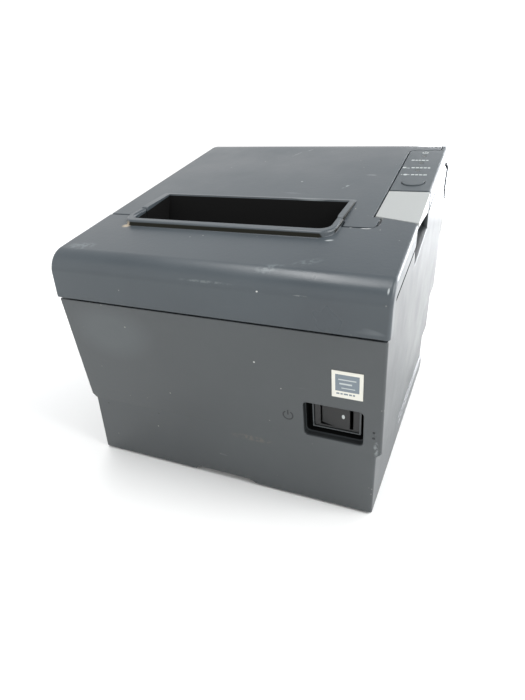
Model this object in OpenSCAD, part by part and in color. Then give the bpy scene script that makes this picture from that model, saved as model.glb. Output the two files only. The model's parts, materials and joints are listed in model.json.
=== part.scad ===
// Desktop receipt printer with a drop-in paper roll, built as separate bench parts.
// Millimetres, +Z up, +X to the right of someone facing it, front towards -Y.
// The origin is the middle of the footprint, on the surface that the feet stand on.

/* [Case] */
// Overall width across the covers
body_w = 145; // [143:1:150]
// Overall depth
body_d = 195; // [193:1:200]
// Overall height, feet included
body_h = 148; // [146:1:152]
// Thickness of every moulded wall
wall = 2.5; // [2:0.1:2.8]
// Forward lean of the front panel, degrees
front_lean = 13; // [11:0.5:14]
// Height at which the sides of the case step in
base_h = 30.6; // [28:0.2:31]
// Height of the seam under the front cover
seam_h = 84.3; // [84:0.1:85]

/* [Covers] */
// Slope of the top, degrees
top_slope = 16; // [15.5:0.1:16.5]
// Slope of the back of the roll cover, degrees
back_slope = 19.8; // [18:0.2:21]
// Radius of the nose
nose_r = 10; // [9:0.5:11]
// Radius of the crest
crest_r = 22; // [16:1:26]
// Radius of the hinge barrel along the rear edge
hinge_r = 10; // [9.5:0.1:10]
// Gap between neighbouring covers
seam_gap = 0.6; // [0.4:0.1:0.8]

/* [Paper path] */
// Width of the paper roll
paper_w = 80; // [79:0.5:80]
// Largest roll diameter
roll_d = 83; // [78:1:83]
// Middle of the paper across the printer
paper_x = -7; // [-8:0.5:-6]
// Platen diameter over the rubber
platen_d = 16; // [15:0.5:16]
// Platen shaft diameter
shaft_d = 6; // [5:0.5:6]

/* [Gears] */
// Module of the paper feed gears
feed_module = 0.8; // [0.7:0.05:0.8]
// Teeth on the platen gear
platen_teeth = 24; // [22:2:24]
// Teeth on the idler gear
idler_teeth = 30; // [28:2:30]
// Teeth on the motor pinion
pinion_teeth = 12; // [11:1:13]
// Module of the cutter gears
cutter_module = 0.6; // [0.5:0.05:0.6]
// Stroke of the moving blade
cut_stroke = 6.5; // [5:0.5:6.5]

/* [Controls] */
// Diameter of the feed button
button_d = 10.2; // [9:0.2:11]
// Width of the rocker of the power switch
rocker_w = 12.4; // [11:0.2:12.4]
// Tilt of the rocker to each side, degrees
rocker_tilt = 10; // [8:1:11]
// Side of the blank label plate on the front
label_w = 12; // [10:0.5:14]

/* [Hidden] */
$fn = 48;

half_w = body_w/2;
front_y = -body_d/2;
rear_y = body_d/2;
shell_w = half_w - 0.7;      // half width of the housing, a little inside the covers
base_w = shell_w - 2.2;      // half width of the stepped-in base
foot_h = 0.5;                // how far the feet stand out below the base
flange_h = 9.5;              // depth of the covers' side flanges

crest_c = [rear_y - 39.4, body_h - crest_r];
function top_z(y) = crest_c[1] + crest_r/cos(top_slope) + tan(top_slope)*(y - crest_c[0]);
function back_z(y) = crest_c[1] + crest_r/cos(back_slope) - tan(back_slope)*(y - crest_c[0]);
nose_c = [front_y + nose_r, top_z(front_y + nose_r) - nose_r/cos(top_slope)];
hinge_c = [rear_y - hinge_r, back_z(rear_y - hinge_r) - hinge_r/cos(back_slope)];

front_foot = [-82.8, base_h];// the crease across the front
base_lean = 3.2;             // how far the front draws in from the crease to the floor
skirt_z = foot_h + 0.3;      // lower rim of the case
skirt_front = front_foot[0] + base_lean;
function front_at(z) = front_foot[0] - (z - front_foot[1])*tan(front_lean);
rear_step = 2;               // the lower rear stands in by this much
step_z = 78;

cover_seam = -54.8;          // rear edge of the front cover
slot_x = [-54.4, 39.6];      // mouth of the paper slot
slot_y = [-62.2, -28.2];
slot_foot = -33.6;           // lower edge of its sloping rear wall
rim_w = 3.1;                 // width of the raised lip round the slot
rim_h = 2.5;                 // height of the lip at its front
lip_seam = -49.8;            // where the lip changes from the front cover to the roll cover
well_z = 104;                // bottom of the slot's side walls
panel_x = 54.2;              // left edge of the lever and of the control panel
panel_y = [-12.8, 47];
panel_r = 3;                 // rounding of the panel's left rear corner
panel_corner = [panel_x + panel_r, panel_y[1] - panel_r];
tongue_x = 56.6;             // the roll cover's front right corner reaches this far
lever_front = [-42.6, -47.8];// the lever's front edge at its left and right ends

platen_c = [-30, 92];
platen_r = platen_d/2;
head_dir = 30;               // elevation of the line from the head to the platen
nip_c = platen_c - platen_r*[cos(head_dir), sin(head_dir)];
bucket_c = [34, 80];
bucket_r = roll_d/2 + 1.5;
bucket_w = paper_w/2 + 0.5;
frame_x = [-52.5, 39.5];     // outer faces of the mechanism's side plates
plate_t = 1.5;
blade_z = 102.3;             // underside of the fixed blade
gear_x = 42;                 // left face of the feed gears
gear_w = 5;

motor_c = [-32, 56];
platen_pitch = feed_module*platen_teeth/2;
idler_pitch = feed_module*idler_teeth/2;
pinion_pitch = feed_module*pinion_teeth/2;
// the idler sits where its two centre distances meet, on the side towards the roll
pm = motor_c - platen_c;
pm_len = norm(pm);
leg_a = platen_pitch + idler_pitch;
leg_b = idler_pitch + pinion_pitch;
along = (leg_a*leg_a - leg_b*leg_b + pm_len*pm_len)/(2*pm_len);
aside = sqrt(leg_a*leg_a - along*along);
idler_c = platen_c + along*pm/pm_len + aside*[-pm[1], pm[0]]/pm_len;
function heading(a, b) = atan2(b[1] - a[1], b[0] - a[0]);
// turn that puts a gap of gear B against a tooth of gear A
function mesh_turn(a_turn, a_teeth, b_teeth, dir) =
    dir + 180 - (0.5 - (dir - a_turn)*a_teeth/360)*360/b_teeth;
platen_turn = heading(platen_c, idler_c);
idler_turn = mesh_turn(platen_turn, platen_teeth, idler_teeth, platen_turn);
pinion_turn = mesh_turn(idler_turn, idler_teeth, pinion_teeth, heading(idler_c, motor_c));

wheel_teeth = 24;
knob_teeth = 12;
wheel_c = [-30, -60];
knob_c = wheel_c - [0, cutter_module*(wheel_teeth + knob_teeth)/2];
knob_turn = mesh_turn(0, wheel_teeth, knob_teeth, -90);
crank_r = cut_stroke/2;

lever_pivot = [-16, top_z(-16) - 3.6];
lever_reach = 31.8;          // from the pivot to the lever's front edge
lever_t = 1.6;
latch_c = [-50, 68];
button_c = [63, -2.1];
led_x = 62.6;
led_y = [14.5, 26, 37.5];
switch_pos = [51.9, 43.5];   // centre of the switch recess on the front, x and z
switch_mid = [0.7, 1.75];    // centre of the switch in that recess
rocker_w0 = -5.6;            // depth of the rocker's pivot behind the front

// ---------- shared shapes ----------

function arc(c, r, a0, a1, n) = [for (i = [0:n]) let (a = a0 + (a1 - a0)*i/n) c + r*[cos(a), sin(a)]];

// extrudes a drawing made in (y, z) from x0 to x1
module along_x(x0, x1) translate([x0, 0, 0]) rotate([90, 0, 90]) linear_extrude(x1 - x0) children();
module rod_x(x0, x1, c, r) translate([x0, c[0], c[1]]) rotate([0, 90, 0]) cylinder(h = x1 - x0, r = r);
module rod_y(c, y0, y1, r) translate([c[0], y1, c[1]]) rotate([90, 0, 0]) cylinder(h = y1 - y0, r = r);
module mirror_pair() for (s = [0, 1]) mirror([s, 0, 0]) children();
module block(a, b) translate(a) cube(b - a);
module rect(a, b) translate(a) square(b - a);
module upright(c, z0, z1, r) translate([c[0], c[1], z0]) cylinder(h = z1 - z0, r = r);
module plan(points, z0 = 60, z1 = 160) translate([0, 0, z0]) linear_extrude(z1 - z0) polygon(points);

// puts local +Z along the front panel's outward normal, local +Y up the panel
module on_front(x, z) translate([x, front_at(z), z]) rotate([90 + front_lean, 0, 0]) children();
// puts local +Z along the top's outward normal, local +Y up the slope
module on_top(x, y) translate([x, y, top_z(y)]) rotate([top_slope, 0, 0]) children();
// puts local +Z from the print head to the platen, local +Y against the paper's travel
module at_head() translate([0, nip_c[0], nip_c[1]]) rotate([head_dir - 90, 0, 0]) children();

// gear outline with straight-flanked teeth and some backlash
module gear(teeth, m) {
    p = 360/teeth;
    root = m*(teeth/2 - 1.25);
    tip = m*(teeth/2 + 0.9);
    polygon([for (i = [0:teeth - 1], k = [[-0.3, root], [-0.1, tip], [0.1, tip], [0.3, root]])
        k[1]*[cos((i + k[0])*p), sin((i + k[0])*p)]]);
}

module feed_gear(c, turn, teeth, x) translate([0, c[0], c[1]]) along_x(x, gear_x + gear_w)
    rotate(turn) gear(teeth, feed_module);

// closed tube of n sides along a helix
module coil(r, wire_r, turns, pitch, n = 6, steps = 10) {
    last = turns*steps;
    ring = [for (i = [0:last], k = [0:n - 1]) let (a = 360*i/steps, b = 360*k/n)
        [(r + wire_r*cos(b))*cos(a), (r + wire_r*cos(b))*sin(a), pitch*i/steps + wire_r*sin(b)]];
    sides = [for (i = [0:last - 1], k = [0:n - 1]) let (j = (k + 1)%n)
        [i*n + k, (i + 1)*n + k, (i + 1)*n + j, i*n + j]];
    ends = [[for (k = [0:n - 1]) k], [for (k = [n - 1:-1:0]) last*n + k]];
    polyhedron(ring, concat(sides, ends), convexity = 10);
}

// ---------- cover skin ----------

// line of the crown, drawn t inside the outer surface, from the nose back to the hinge barrel
function crown(t) = concat(
    arc(nose_c, nose_r - t, 180, 90 + top_slope, 10),
    arc(crest_c, crest_r - t, 90 + top_slope, 90 - back_slope, 6));

// the housing's top edge along each side, from the nose back to the barrel
side_seam = [[-89.6, seam_h + 0.9], [-91.6, 97], [-90.4, 98.9],
             [-46.6, top_z(-46.6) - flange_h - 0.4], [56, top_z(56) - flange_h], [78.6, 135.4]];
function lifted(p) = p[0] < -88 ? p + seam_gap*[-1.2, 0.8] : p + [0, seam_gap + 0.8];

module cap_outline() polygon(concat([[front_y + 1.3, seam_h + 0.9]], crown(0),
    arc(hinge_c, hinge_r, 90 - back_slope, -232, 24),
    [for (i = [len(side_seam) - 1:-1:0]) lifted(side_seam[i])]));

module cap_hollow(t) polygon(concat([[front_y + 1.3 + t, 80]], crown(t),
    arc(hinge_c, hinge_r - t, 90 - back_slope, -60, 10),
    [hinge_c + (hinge_r + 3)*[cos(-60), sin(-60)], [80, 100], [front_y + 1.3 + t, 80]]));

// the whole crown as one sheet with its two side flanges
module cap_shell(t) difference() {
    along_x(-half_w, half_w) cap_outline();
    along_x(-half_w + wall, half_w - wall) cap_hollow(t);
}

// the raised lip round the slot, highest along its front
lip_y = slot_y[0] - 4.4;
lip_rear = slot_y[1] + 2.4;
corner_r = 4.5;              // the mouth's front corners
lip_r = [corner_r + rim_w, 2.4];         // the lip's outer corners in front and behind
module rim_block() intersection() {
    along_x(slot_x[0] - rim_w, slot_x[1] + rim_w) polygon([
        [lip_y, top_z(lip_y) - wall], [lip_y + 0.4, top_z(lip_y + 0.4) + rim_h],
        [slot_y[1], top_z(slot_y[1]) + 0.4], [lip_rear, top_z(lip_rear)], [lip_rear, top_z(lip_rear) - wall]]);
    plan(concat(arc([slot_x[0] - rim_w + lip_r[0], lip_y + lip_r[0]], lip_r[0], 180, 270, 6),
        arc([slot_x[1] + rim_w - lip_r[0], lip_y + lip_r[0]], lip_r[0], 270, 360, 6),
        arc([slot_x[1] + rim_w - lip_r[1], lip_rear - lip_r[1]], lip_r[1], 0, 90, 6),
        arc([slot_x[0] - rim_w + lip_r[1], lip_rear - lip_r[1]], lip_r[1], 90, 180, 6)));
}
// the part of the lip and of the slot's walls that belongs to the front cover
module lip_ears(gap = 0)
    block([slot_x[0] - rim_w - gap, front_y, 80], [slot_x[1] + rim_w + gap, lip_seam + gap, 140]);

// the slot's mouth, with its two front corners rounded and its rear wall sloping
module slot_hole() intersection() {
    along_x(slot_x[0], slot_x[1]) polygon([[-75, 90], [slot_foot, 90], [slot_foot, blade_z + 1.1],
        [slot_y[1], top_z(slot_y[1])], [slot_y[1], 140], [-75, 140]]);
    plan(concat(arc([slot_x[1] - corner_r, slot_y[0] + corner_r], corner_r, -90, 0, 5),
        [[slot_x[1], 0], [slot_x[0], 0]],
        arc([slot_x[0] + corner_r, slot_y[0] + corner_r], corner_r, 180, 270, 5)), 80);
}

// ---------- case ----------

bay_x = 60;                  // half width of the connector bay
bay_y = 71.6;                // its inner end
bay_z = 44;                  // its ceiling
post_x = [-46, 33];          // screw posts under the mechanism
post_y = [-57, -19];
board_x = [-36, 22];         // posts under the main board
board_y = [-4, 60];
foot_at = [[-55, -66], [55, -66], [-55, 82], [55, 82]];
foot_r = 8;
screw_r = 1.6;

tray_w = base_w - wall - 0.3;            // the tray fits inside the case's skirt
tray_front = skirt_front + wall + 0.4;
tray_rear = rear_y - rear_step - wall - 0.3;
tray_h = 26;
tray_t = 2;                              // its upright walls
floor_z = foot_h + wall;                 // top of its floor

// shallow panel sunk into each side, from the middle to the rear
module side_panels(depth, top) intersection() {
    for (s = [-1, 1]) along_x(s > 0 ? depth : -half_w - 1, s > 0 ? half_w + 1 : -depth)
        polygon([[-14, 9], [-20, 44], [-8, 49], [30, 58], [99, 60], [99, 9]]);
    block([-half_w - 2, -50, 0], [half_w + 2, 100, top]);
}

// finger notch under the front edge
module finger_notch() translate([0, skirt_front + 9, 0]) rotate([90, 0, 0]) linear_extrude(20)
    polygon([[-16.7, -1], [-14.7, foot_h + 2], [12.8, foot_h + 2], [19.8, -1]]);

module base_tray() color("#565b5e") difference() {
    union() {
        difference() {
            along_x(-tray_w, tray_w) polygon([[tray_front, foot_h],
                [tray_front - base_lean*tray_h/base_h, tray_h], [tray_rear, tray_h], [tray_rear, foot_h]]);
            block([-tray_w + tray_t, tray_front + tray_t, floor_z],
                  [tray_w - tray_t, tray_rear - tray_t, tray_h + 1]);
            block([-bay_x, bay_y, floor_z], [bay_x, rear_y, tray_h + 1]);
        }
        // floor and cheeks of the connector bay
        block([-bay_x + 0.3, bay_y, foot_h], [bay_x - 0.3, rear_y - rear_step, floor_z]);
        mirror_pair() block([bay_x, bay_y, foot_h], [bay_x + 2, tray_rear, base_h - 0.3]);
        for (x = post_x, y = post_y) upright([x, y], foot_h + 1, 34, 4);
        // ribs that carry the roll bucket
        for (x = [-45.5, 30.5]) along_x(x, x + 2.5) difference() {
            rect([8, foot_h + 1], [60, 58]);
            translate(bucket_c) circle(r = bucket_r + 2.1);
        }
        for (x = board_x, y = board_y) upright([x, y], foot_h + 1, 10, 3);
    }
    for (p = foot_at) upright(p, 0, foot_h + 1.5, foot_r);
    for (x = post_x, y = post_y) {
        upright([x, y], 0, 22, screw_r);
        upright([x, y], 0, 3.5, 3);
    }
    finger_notch();
}

module feet() color("#2a2a2b") for (p = foot_at) upright(p, 0, foot_h + 1.5, foot_r);

module case_screws() color("silver") for (x = post_x, y = post_y) difference() {
    union() {
        upright([x, y], 1.6, 3.5, 2.9);
        upright([x, y], 3.4, 20, screw_r);
    }
    block([x - 2.2, y - 0.4, 1], [x + 2.2, y + 0.4, 2.5]);
    block([x - 0.4, y - 2.2, 1], [x + 0.4, y + 2.2, 2.5]);
}

// the finger recess under the lever, drawn in (y, z)
pocket = [[-5.7, top_z(-5.7) - flange_h + 1], [-3.3, 110.7], [-39.4, 99.5],
          [-46.6, top_z(-46.6) - flange_h + 1]];
pocket_x = 63;               // inner end of the recess
pocket_floor = 5.5;          // rise of its sloping floor
pocket_rise = heading(pocket[2], pocket[1]);

// ---------- housing ----------

// outline with round corners, in the front panel's own axes
module soft_rect(a, b, r) offset(r = r, $fn = 20) rect(a + [r, r], b - [r, r]);

switch_hole = [[-8.7, -5.2], [10.1, 8.7]];     // the collar's inner corners
collar_t = 0.7;
collar_z = -3.1;             // the collar's front edge
moat_z = -7.5;               // bottom of the recess round the collar

module switch_recess() difference() {
    hull() {
        translate([0, 0, 0.1]) linear_extrude(0.1) soft_rect([-12.3, -8.7], [12.3, 8.7], 1.8);
        translate([0, 0, moat_z]) linear_extrude(0.1) soft_rect([-11.7, -8.1], [11.7, 8.7], 1.8);
    }
    translate([0, 0, moat_z - 1]) linear_extrude(collar_z - moat_z + 1)
        rect(switch_hole[0] - [collar_t, collar_t], switch_hole[1] + [collar_t, 2]);
}

module case_side() polygon(concat(
    [[skirt_front, skirt_z], front_foot, [front_at(seam_h), seam_h]], side_seam,
    arc(hinge_c, hinge_r + 0.4, 137, 312, 20),
    [[rear_y, hinge_c[1] - 7.7], [rear_y, step_z], [rear_y - rear_step, step_z - 4],
     [rear_y - rear_step, skirt_z]]));

hollow_z = base_h + 3.2;     // the hollow narrows below this
module case_hollow() {
    along_x(-shell_w + wall, shell_w - wall) polygon([
        [front_at(hollow_z) + wall + 0.1, hollow_z], [front_at(150) + wall + 0.1, 150],
        [rear_y - wall, 150], [rear_y - wall, step_z + 1], [rear_y - wall - rear_step, step_z - 4],
        [rear_y - wall - rear_step, hollow_z]]);
    along_x(-base_w + wall, base_w - wall) polygon([
        [skirt_front + wall + 0.1, 0], [front_foot[0] + wall + 0.1, base_h],
        [front_at(hollow_z + 1) + wall + 0.1, hollow_z + 1],
        [rear_y - wall - rear_step, hollow_z + 1], [rear_y - wall - rear_step, 0]]);
}

module housing() color("#5d6265") difference() {
    union() {
        difference() {
            along_x(-shell_w, shell_w) case_side();
            // the sides step in below the crease, over a chamfer
            mirror_pair() translate([0, 100, 0]) rotate([90, 0, 0]) linear_extrude(200) polygon([
                [base_w, 0], [base_w, base_h], [half_w + 1, base_h + half_w + 1 - base_w], [half_w + 1, 0]]);
            case_hollow();
        }
        // block that the finger recess is sunk into
        along_x(pocket_x - 1.5, shell_w - 1) polygon([pocket[0] + [1.6, -1], pocket[1] + [1.8, -1],
            pocket[2] + [-0.5, -1.8], pocket[3] + [-1.6, -1.4]]);
        // backing of the switch recess
        on_front(switch_pos[0], switch_pos[1]) translate([-13.5, -10, -9]) cube([27, 20, 7.3]);
        // roof and cheeks of the connector bay
        block([-bay_x - 2, bay_y, bay_z], [bay_x + 2, rear_y - rear_step - 1, bay_z + 2]);
        mirror_pair() block([bay_x, bay_y, base_h], [bay_x + 2, rear_y - rear_step - 1, bay_z + 1]);
    }
    difference() {
        along_x(pocket_x, half_w + 1) polygon(pocket);
        // sloping floor that runs out to the side at its lower edge
        translate([0, pocket[2][0], pocket[2][1]]) rotate([pocket_rise, 0, 0]) translate([0, -5, 0])
            rotate([-90, 0, 0]) linear_extrude(norm(pocket[1] - pocket[2]) + 10) polygon([
                [shell_w + 0.3, 1], [shell_w + 0.3, 0], [pocket_x - 1, -pocket_floor], [pocket_x - 1, 1]]);
    }
    on_front(switch_pos[0], switch_pos[1]) {
        switch_recess();
        translate([0, 0, -12]) linear_extrude(12) rect(switch_hole[0], switch_hole[1]);
    }
    // two dimples beside the switch
    for (v = [43.3, 40.5]) on_front(68.3, v) translate([0, 0, -0.6]) cylinder(h = 1, r = 0.5);
    block([-bay_x, bay_y, 0], [bay_x, rear_y + 1, bay_z]);
    side_panels(shell_w - 1.6, 90);
    side_panels(base_w - 1.2, base_h - 1.2);
    finger_notch();
}

module label_plate() color("#c9cac6") on_front(57.8, 63.8)
    translate([-label_w/2, -6.2, 0]) cube([label_w, 12.4, 0.25]);

// ---------- power switch ----------

module switch_body() color("#18191a") on_front(switch_pos[0], switch_pos[1])
    translate([switch_mid[0], switch_mid[1], 0]) difference() {
        union() {
            translate([-9.3, -6.85, -20]) cube([18.6, 13.7, 16.4]);
            for (x = [-6, 0, 6]) translate([x - 0.4, -2.4, -27]) cube([0.8, 4.8, 8]);
        }
        translate([-6.7, -5.9, -14]) cube([13.4, 11.8, 12]);
        translate([0, 7, rocker_w0]) rotate([90, 0, 0]) cylinder(h = 14, r = 0.95);
    }

module power_rocker() color("#101112") on_front(switch_pos[0], switch_pos[1])
    translate([switch_mid[0], switch_mid[1], rocker_w0]) rotate([0, -rocker_tilt, 0]) {
        rotate([90, 0, 0]) translate([0, 0, -5.6]) linear_extrude(11.2) polygon([
            [-rocker_w/2, 1.6], [-rocker_w/2, 2.3], [0, 2.6], [rocker_w/2, 2.3],
            [rocker_w/2, 1.6], [3, -2.4], [-3, -2.4]]);
        rotate([90, 0, 0]) translate([0, 0, -6.6]) cylinder(h = 13.2, r = 0.9);
    }

// ---------- control panel ----------

module control_panel() color("#4a4e50") difference() {
    union() {
        intersection() {
            cap_shell(wall);
            plan([[panel_x, panel_y[0]], [half_w + 1, panel_y[0]], [half_w + 1, 54.6],
                  [half_w - wall, 54.6], [half_w - wall, panel_y[1]],
                  for (a = [90:15:180]) panel_corner + panel_r*[cos(a), sin(a)]], 110);
        }
        // skirt along the left edge, and tabs that drop inside the housing
        intersection() {
            along_x(-half_w, half_w) cap_outline();
            block([panel_x, panel_y[0], 110], [panel_x + 1.6, panel_corner[1], 160]);
        }
        for (y = [6, 35]) along_x(shell_w - wall - 1.6, shell_w - wall) polygon([
            [y, top_z(y) - 15], [y, top_z(y) - 1], [y + 9, top_z(y + 9) - 1], [y + 9, top_z(y + 9) - 15]]);
        for (y = [8, 38]) on_top(58.5, y) translate([0, 0, -6]) cylinder(h = 5, r = 1.8);
    }
    on_top(button_c[0], button_c[1]) translate([0, 0, -5]) cylinder(h = 10, d = button_d + 0.6);
    for (y = led_y) on_top(led_x, y) translate([0, 0, -5]) cylinder(h = 10, r = 1.2);
}

module led_lenses() color("#4b5a45") for (y = led_y) on_top(led_x, y) {
    translate([0, 0, -wall - 1]) cylinder(h = wall + 0.9, r = 1.2);
    translate([0, 0, -6]) cylinder(h = 6 - wall, r = 1.7);
}

module panel_board() color("#2e5a3c") {
    on_top(0, 18) difference() {
        translate([56.4, -26, -7.6]) cube([11, 54, 1.6]);
        translate([58.5, 22, -8]) cylinder(h = 3, r = 1);
    }
    on_top(button_c[0], button_c[1]) translate([-3, -3, -6.1]) cube([6, 6, 1.2]);
}

module feed_button() color("#3c4042") on_top(button_c[0], button_c[1]) {
    translate([0, 0, -3.4]) cylinder(h = 3.9, d = button_d);
    translate([0, 0, -3.4]) cylinder(h = 0.7, d = button_d + 1.6);
}

// ---------- cover lever and latch ----------

module lever_plan() plan([[panel_x, lever_front[0]], [half_w + 1, lever_front[1]],
    [half_w + 1, lever_pivot[0] + 1.8], [panel_x, lever_pivot[0] + 1.8]], 100);

module cover_lever() color("#c5cac8") difference() {
    union() {
        intersection() {
            cap_shell(lever_t);
            lever_plan();
            // the front edge is an arc about the pivot, so that it clears the front cover as it lifts;
            // the side runs out towards the front, where a finger gets under it
            along_x(50, half_w) polygon(concat([lever_pivot + [-lever_reach, 10]],
                arc(lever_pivot, lever_reach, 188, 196, 3),
                [[-45, top_z(-45) - 3.4], [-14, top_z(-14) - 9], [0, 106], [0, 134]]));
        }
        intersection() {
            along_x(panel_x, panel_x + 1.4) cap_outline();
            along_x(panel_x, panel_x + 2) polygon([
                [-42.4, 130], [-42.4, 119.5], [-40, 113], [-19, 119.5], [-19, 130]]);
        }
        rod_x(58, 66, lever_pivot, 1.75);
        along_x(58, 66) polygon([for (p = [[-1.7, 0], [-1.7, 1.7], [1.5, 2.6], [1.5, 0]]) lever_pivot + p]);
        // arm that pushes the latch
        along_x(56.4, 58) polygon([[-42, 100], [-37, 99.5], [-28, 112],
            [-20, 118], [-19, 126], [-36, 121.2], [-39.5, 112]]);
    }
    rod_x(57, 67, lever_pivot, 1.05);
}

function panel_under(y) = top_z(y) - wall/cos(top_slope);
module lever_bracket() color("#a9adaf") for (x = [55.9, 67]) difference() {
    union() {
        rod_x(x, x + 1.5, lever_pivot, 1.7);
        along_x(x, x + 1.5) polygon([lever_pivot + [-1.6, 0], lever_pivot + [-1.6, -6],
            [-8, lever_pivot[1] - 6], [-8, panel_under(-8)], [-12.4, panel_under(-12.4)],
            [-12.4, 122.6], lever_pivot + [1.2, -1.1]]);
    }
    rod_x(x - 1, x + 3, lever_pivot, 1);
}

module lever_pin() color("silver") rod_x(55.6, 68.9, lever_pivot, 1);

module lever_spring() color("silver") translate([66.2, lever_pivot[0], lever_pivot[1]]) rotate([0, 90, 0])
    difference() {
        cylinder(h = 0.6, r = 1.65);
        translate([0, 0, -1]) cylinder(h = 3, r = 1.0);
    }

module latch_shaft() color("silver") {
    rod_x(-55.2, 60, latch_c, 2);
    // crank that the lever's arm pushes
    difference() {
        along_x(58.4, 60) polygon([for (p = [[-3, -3], [3, -3], [9, 29], [5, 29]]) latch_c + p]);
        rod_x(58, 61, latch_c, 1.9);
    }
}

module latch_hooks() color("#8f9496") for (x = [-54.7, 40.1]) difference() {
    along_x(x, x + 1.3) polygon([
        for (p = [[-4, -3], [3, -4], [8, 20], [11.6, 24], [11.6, 29], [7, 30], [1, 22]]) latch_c + p]);
    rod_x(x - 1, x + 3, latch_c, 2);
}

// ---------- roll cover ----------

module roll_side() along_x(-half_w - 1, half_w + 1) polygon([
    [cover_seam + seam_gap, 140], [cover_seam + seam_gap, 117], [cover_seam + seam_gap + 2.2, 103],
    [40, 100], [rear_y + 5, 100], [rear_y + 5, 160], [0, 160]]);

module roll_plan() plan(concat(
    [[-half_w - 1, -70], [tongue_x - 3.5, -70]],
    [[tongue_x - 3.5, cover_seam + seam_gap]],
    arc([tongue_x - 3.5, cover_seam + seam_gap + 3.5], 3.5, -90, 0, 6),
    [[tongue_x, lever_front[0] - 1], [panel_x - seam_gap, lever_front[0] - 1],
     for (a = [180:-15:90]) panel_corner + (panel_r + seam_gap)*[cos(a), sin(a)],
     [half_w - wall - 0.4, panel_y[1] + seam_gap],
     [half_w - wall - 0.4, 55.2], [half_w + 1, 55.2], [half_w + 1, rear_y + 1],
     [-half_w - 1, rear_y + 1]]), 90, 170);

module roll_cover() color("#7f878a") difference() {
    union() {
        intersection() {
            cap_shell(wall);
            roll_side();
            roll_plan();
        }
        // the lip and the side walls of the slot
        rim_block();
        for (x = [slot_x[0] - rim_w, slot_x[1]]) along_x(x, x + rim_w) polygon([
            [lip_seam, well_z], [lip_seam, top_z(lip_seam) - 1],
            [slot_y[1], top_z(slot_y[1]) - 1], [slot_foot, well_z]]);
        // sloping rear wall of the slot
        along_x(slot_x[0] - rim_w, slot_x[1] + rim_w) polygon([
            [slot_y[1], top_z(slot_y[1])], [slot_y[1] + 2.4, top_z(slot_y[1] + 2.4)],
            [slot_foot + 2.4, blade_z + 1.1], [slot_foot, blade_z + 1.1]]);
        // skirt beside the lever and the panel
        intersection() {
            along_x(panel_x - seam_gap - 1.8, panel_x - seam_gap) cap_outline();
            roll_side();
            block([0, cover_seam, 90], [half_w, panel_y[1] + seam_gap, 170]);
        }
        // bosses that turn on the hinge pins
        mirror_pair() rod_x(half_w - 5, half_w, hinge_c, 6);
    }
    slot_hole();
    lip_ears(seam_gap);
    mirror_pair() rod_x(half_w - 6, half_w - 1.3, hinge_c, 3.05);
}

module cover_liner() color("#3b3e40") {
    along_x(-48.5, 34.5) polygon([[-20, top_z(-20) - 6.8], [50, top_z(50) - 6.8], [70, back_z(70) - 8.6],
        [70, back_z(70) - 7], [50, top_z(50) - 5.2], [-20, top_z(-20) - 5.2]]);
    for (x = [-46, 30]) along_x(x, x + 2) polygon([[-18, top_z(-18) - 5.4], [50, top_z(50) - 5.4],
        [50, top_z(50) - wall - 0.1], [-18, top_z(-18) - wall - 0.1]]);
    // curved ribs that keep the roll from jumping
    for (x = [-40, -7, 26]) along_x(x - 0.8, x + 0.8) difference() {
        polygon([[6, top_z(6) - 6.6], [50, top_z(50) - 6.6], [66, back_z(66) - 8.4], [66, 124], [6, 124]]);
        translate(bucket_c) circle(r = bucket_r + 2, $fn = 96);
    }
}

module platen_frame() color("#a9adaf") difference() {
    union() {
        for (x = [-50, 34.5]) along_x(x, x + plate_t) {
            translate(platen_c) circle(r = 6.5);
            polygon([[-36, 93], [-26, 86.9], [-17, 96], [-12.4, 106.4], [-9, 108], [-9, 122], [-18, 122],
                [-24.6, 117], [-29.4, 104], [-31, blade_z], [-36, blade_z]]);
        }
        block([-50, -41, blade_z - plate_t], [36, -26, blade_z]);
        block([-50, -18, 118], [36, -9, 119.5]);
        block([-50, -27.5, blade_z - plate_t], [36, -26, 106]);
    }
    for (x = [-50, 34.5]) rod_x(x - 1, x + 3, platen_c, 5);
}

module fixed_blade() color("silver") difference() {
    along_x(-48.4, 34.4) polygon([
        [-42, blade_z], [-43, blade_z + 1], [-33.7, blade_z + 1], [-33.7, blade_z]]);
    for (x = [-44, 30]) upright([x, -36], 100, 105, 1.5);
}

module platen_bushes() color("#2c2d2e") for (x = [-50.6, 33.9]) difference() {
    union() {
        rod_x(x, x + 2.1, platen_c, 5);
        rod_x(x + 2.1, x + 2.7, platen_c, 5);
    }
    rod_x(x - 1, x + 4, platen_c, shaft_d/2 + 0.05);
}

module platen_shaft() color("silver") {
    rod_x(-55, 50.5, platen_c, shaft_d/2);
}

module platen_rubber() color("#232425") difference() {
    rod_x(paper_x - bucket_w, paper_x + bucket_w, platen_c, platen_r);
    rod_x(paper_x - 50, paper_x + 50, platen_c, shaft_d/2);
}

module platen_gear() color("#d8d6cc") difference() {
    feed_gear(platen_c, platen_turn, platen_teeth, gear_x);
    rod_x(0, 60, platen_c, shaft_d/2);
}

// ---------- rear hinge ----------

module hinge_brackets() color("#4a4e50") mirror_pair() difference() {
    union() {
        rod_x(64, 66.5, hinge_c, 5);
        along_x(64, 66.5) polygon([
            [66, 98], [72, 98], [72, 126.2], [87.5, 126.2], [87.5, 131.8], [66, 131.8]]);
        block([66, 66, 98], [shell_w - wall, 72, 118]);
    }
    rod_x(60, 70, hinge_c, 3);
}

module hinge_pins() color("silver") mirror_pair() {
    rod_x(62.8, half_w - 1.7, hinge_c, 3);
    rod_x(62, 64, hinge_c, 4.2);
}

// ---------- front cover ----------

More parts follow.
